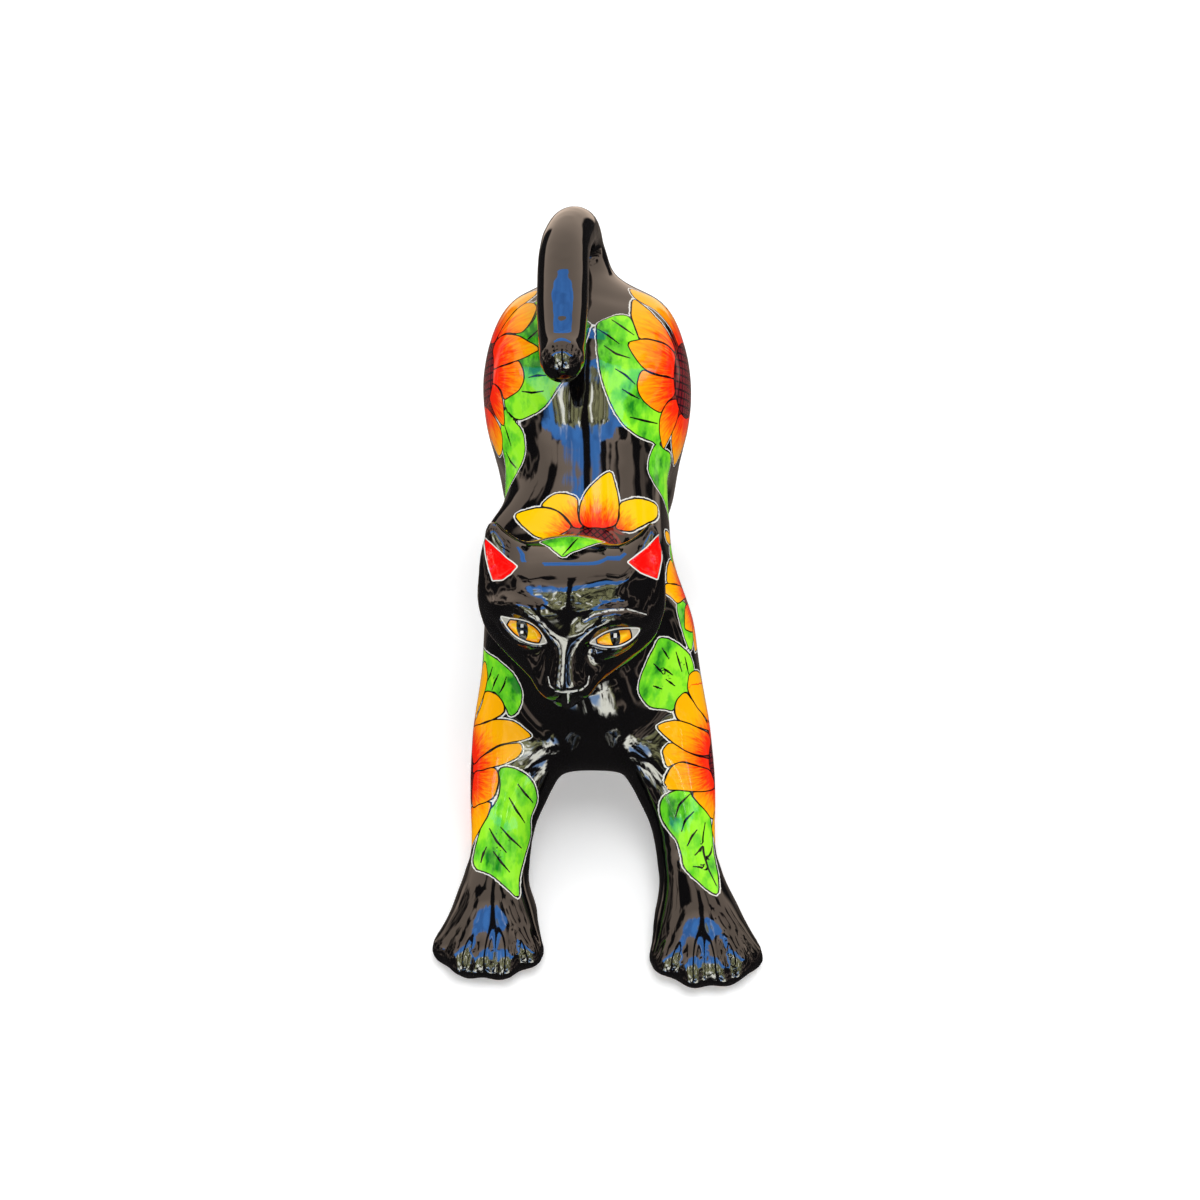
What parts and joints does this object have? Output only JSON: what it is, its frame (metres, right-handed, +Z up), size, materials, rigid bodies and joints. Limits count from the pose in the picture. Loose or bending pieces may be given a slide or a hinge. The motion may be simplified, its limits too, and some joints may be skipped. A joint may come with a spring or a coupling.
{
  "type": "ceramic cat statue",
  "caption": "Glazed ceramic cat stretching: front paws reached out low, haunches raised, tail hooked forward, painted with flowers and leaves on black.",
  "frame": {"origin": "middle of the bounding box's base, on the ground under the paws", "axes": "+Y from the cat's front paws to its haunches, +X to the cat's own left, +Z up"},
  "size_m": [0.2042, 0.43, 0.3025],
  "materials": {
    "glaze": "gloss black glaze with hand-painted flowers and leaves"
  },
  "bodies": {
    "root": {"cat_figure": "glaze"}
  },
  "joints": []
}
